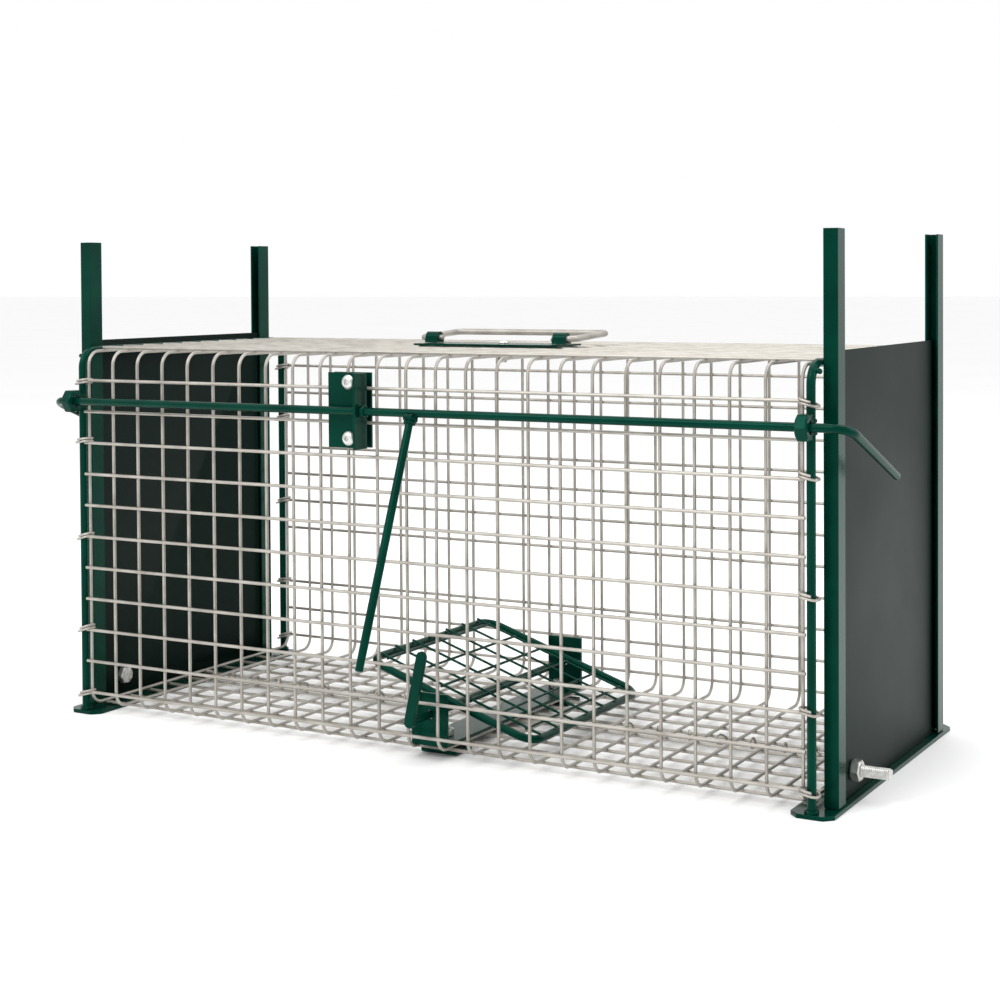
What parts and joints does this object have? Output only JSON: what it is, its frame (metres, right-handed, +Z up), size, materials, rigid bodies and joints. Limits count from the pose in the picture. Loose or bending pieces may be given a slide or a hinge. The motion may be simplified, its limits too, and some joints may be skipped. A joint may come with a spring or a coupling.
{
  "type": "live catch trap",
  "caption": "Welded-mesh live catch trap with a drop door in channel posts at each end, a see-saw treadle, a trip rod along the front and a folding carry handle.",
  "frame": {"origin": "middle of the whole trap's box, on the ground", "axes": "+X along the cage, +Y from the trip rod's side to the back, +Z up"},
  "size_m": [0.6838, 0.3564, 0.378],
  "materials": {
    "green_enamel": "glossy dark green coating",
    "door_enamel": "satin, near-black green coating on sheet",
    "galvanised_wire": "dull off-white galvanised wire",
    "zinc_fastener": "bright zinc plate"
  },
  "bodies": {
    "cage": {"floor_bolt_back": "zinc_fastener", "floor_bolt_front": "zinc_fastener", "floor_clamp_back": "green_enamel", "floor_clamp_front": "green_enamel", "floor_nut_back": "zinc_fastener", "floor_nut_front": "zinc_fastener", "foot_bar_left": "green_enamel", "foot_bar_right": "green_enamel", "guide_nut_lower": "zinc_fastener", "guide_nut_upper": "zinc_fastener", "guide_screw_lower": "zinc_fastener", "guide_screw_upper": "zinc_fastener", "handle_clamp": "green_enamel", "handle_ear_left": "green_enamel", "handle_ear_right": "green_enamel", "handle_nut": "zinc_fastener", "handle_plate": "green_enamel", "handle_screw": "zinc_fastener", "hoop_left": "green_enamel", "hoop_right": "green_enamel", "mesh_back": "galvanised_wire", "mesh_floor": "galvanised_wire", "mesh_front": "galvanised_wire", "mesh_top": "galvanised_wire", "post_left_back": "green_enamel", "post_left_front": "green_enamel", "post_right_back": "green_enamel", "post_right_front": "green_enamel", "rod_bearing_left": "green_enamel", "rod_bearing_right": "green_enamel", "rod_guide": "green_enamel", "rod_guide_back_plate": "green_enamel", "tie_ring_left_back_1": "galvanised_wire", "tie_ring_left_front_1": "galvanised_wire", "tie_ring_left_front_2": "galvanised_wire", "tie_ring_left_front_3": "galvanised_wire", "tie_ring_right_back_1": "galvanised_wire", "tie_ring_right_front_1": "galvanised_wire", "tie_ring_right_front_2": "galvanised_wire", "tie_ring_right_front_3": "galvanised_wire", "treadle_base": "green_enamel"},
    "left_door": {"left_door_panel": "door_enamel", "left_door_stud": "zinc_fastener", "left_door_stud_nut": "zinc_fastener"},
    "right_door": {"right_door_panel": "door_enamel", "right_door_stud": "zinc_fastener", "right_door_stud_nut": "zinc_fastener"},
    "trip": {"trip_arm": "green_enamel", "trip_rod": "green_enamel"},
    "treadle": {"treadle_frame": "green_enamel", "treadle_grid": "green_enamel", "trip_lever": "green_enamel"},
    "handle": {"handle_bail": "galvanised_wire"}
  },
  "joints": [
    {"name": "left_door_slide", "type": "slide", "parent": "cage", "child": "left_door", "axis": [0, 0, 1], "range_m": [0, 0.195]},
    {"name": "right_door_slide", "type": "slide", "parent": "cage", "child": "right_door", "axis": [0, 0, 1], "range_m": [0, 0.195]},
    {"name": "trip_rod_turn", "type": "hinge", "parent": "cage", "child": "trip", "pos_m": [0, -0.10611, 0.2515], "axis": [1, 0, 0], "range_deg": [-158, 22]},
    {"name": "treadle_tilt", "type": "hinge", "parent": "cage", "child": "treadle", "pos_m": [0.0125, 0.03895, 0.0317], "axis": [0, 1, 0], "range_deg": [-37, 0]},
    {"name": "handle_swing", "type": "hinge", "parent": "cage", "child": "handle", "pos_m": [0, 0.03895, 0.30025], "axis": [1, 0, 0], "range_deg": [0, 174]}
  ]
}
